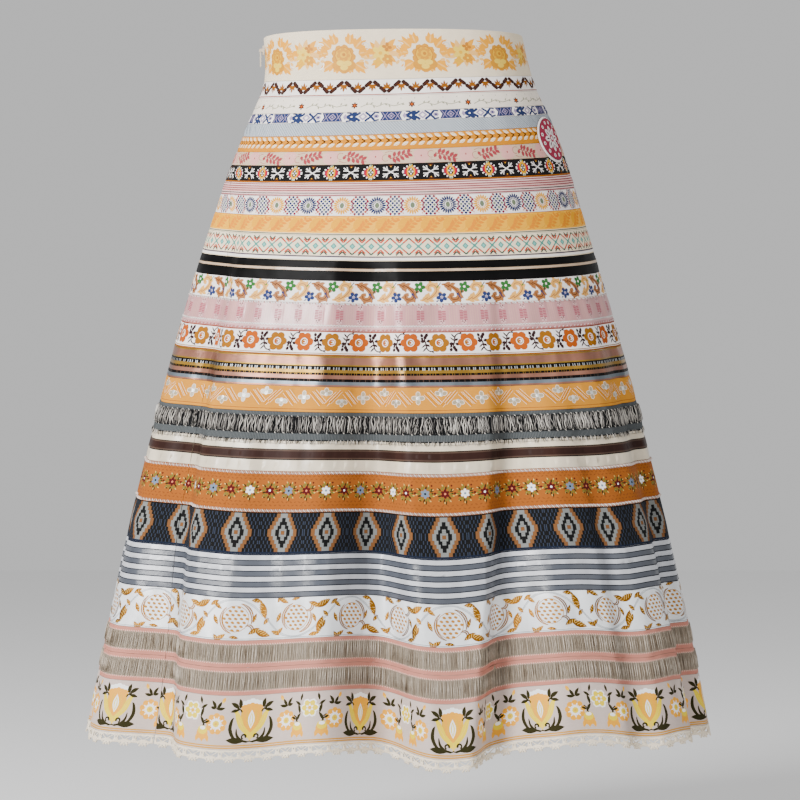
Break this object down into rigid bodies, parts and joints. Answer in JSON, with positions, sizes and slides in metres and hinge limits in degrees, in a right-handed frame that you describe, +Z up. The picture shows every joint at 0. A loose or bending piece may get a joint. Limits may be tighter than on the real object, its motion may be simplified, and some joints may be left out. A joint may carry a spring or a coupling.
{
  "type": "ribbon skirt",
  "caption": "A-line midi skirt pieced from horizontal rows of patterned ribbon, with a lace hem, a round patch and a concealed side zip with a hinged pull.",
  "frame": {"origin": "centre of the waist, at the middle of the waistband's height", "axes": "+Z up along the skirt's length, the front faces -Y, +X is the side with the patch"},
  "size_m": [0.622, 0.3923, 0.7164],
  "materials": {
    "waistband": "ecru jacquard with a woven flower garland",
    "leaf_zigzag": "white jacquard with dark leaves in a zigzag",
    "cream_sprig": "cream satin with small brown flowers",
    "blue_geometric": "pale jacquard with a blue geometric border",
    "grey_twill": "grey diagonal twill",
    "yellow_braid": "golden yellow jacquard braid",
    "pink_leaf": "beige jacquard with rose leaf sprays",
    "cross_stitch": "black ribbon worked like cross stitch",
    "red_stripe": "red, pink and white lengthwise stripes",
    "medallion": "white jacquard with blue and yellow rosettes",
    "yellow_leaf": "pale yellow leaf damask",
    "diamond": "ivory jacquard with red and teal diamonds",
    "black_satin": "black and charcoal satin with a cream line",
    "white_scroll": "ivory jacquard with tan scrolls",
    "pink_moire": "dusty pink moire with a white picot edge",
    "orange_flower": "cream jacquard with orange flowers",
    "brown_metallic": "brown and old gold metallic satin bands",
    "peach_sequin": "peach ribbon with slanted strokes and sequins",
    "charcoal_boucle": "charcoal grosgrain with a boucle band",
    "cream_satin": "cream satin with a brown stripe",
    "orange_star": "burnt orange jacquard with star flowers and corded edges",
    "navy_ikat": "navy velvet-like ribbon with stepped diamonds",
    "grey_stripe": "grey, white and blue striped satin",
    "gold_brocade": "silver white brocade with gold leaves",
    "upper_strands": "pink edged ribbon of taupe vertical strands",
    "lower_strands": "pink edged ribbon of taupe vertical strands",
    "tulip": "mauve grey linen with amber tulips",
    "lace": "cream cotton crochet lace",
    "patch": "embroidered rose red patch with a white edge",
    "zip_tape": "cream woven zip tape",
    "zip_metal": "cream-tan enamelled metal"
  },
  "bodies": {
    "skirt": {"waistband": "waistband", "leaf_zigzag": "leaf_zigzag", "cream_sprig": "cream_sprig", "blue_geometric": "blue_geometric", "grey_twill": "grey_twill", "yellow_braid": "yellow_braid", "pink_leaf": "pink_leaf", "cross_stitch": "cross_stitch", "red_stripe": "red_stripe", "medallion": "medallion", "yellow_leaf": "yellow_leaf", "diamond": "diamond", "black_satin": "black_satin", "white_scroll": "white_scroll", "pink_moire": "pink_moire", "orange_flower": "orange_flower", "brown_metallic": "brown_metallic", "peach_sequin": "peach_sequin", "charcoal_boucle": "charcoal_boucle", "cream_satin": "cream_satin", "orange_star": "orange_star", "navy_ikat": "navy_ikat", "grey_stripe": "grey_stripe", "gold_brocade": "gold_brocade", "upper_strands": "upper_strands", "lower_strands": "lower_strands", "tulip": "tulip", "lace_front": "lace", "lace_back": "lace", "patch": "patch", "zip_tape": "zip_tape", "zip_slider": "zip_metal"},
    "zip_pull": {"zip_pull": "zip_metal"}
  },
  "joints": [
    {"name": "zip_pull_hinge", "type": "hinge", "parent": "skirt", "child": "zip_pull", "pos_m": [-0.13723, -0.00702, 0.012], "axis": [-0.0954, 0.9954, 0], "range_deg": [0, 150]}
  ]
}
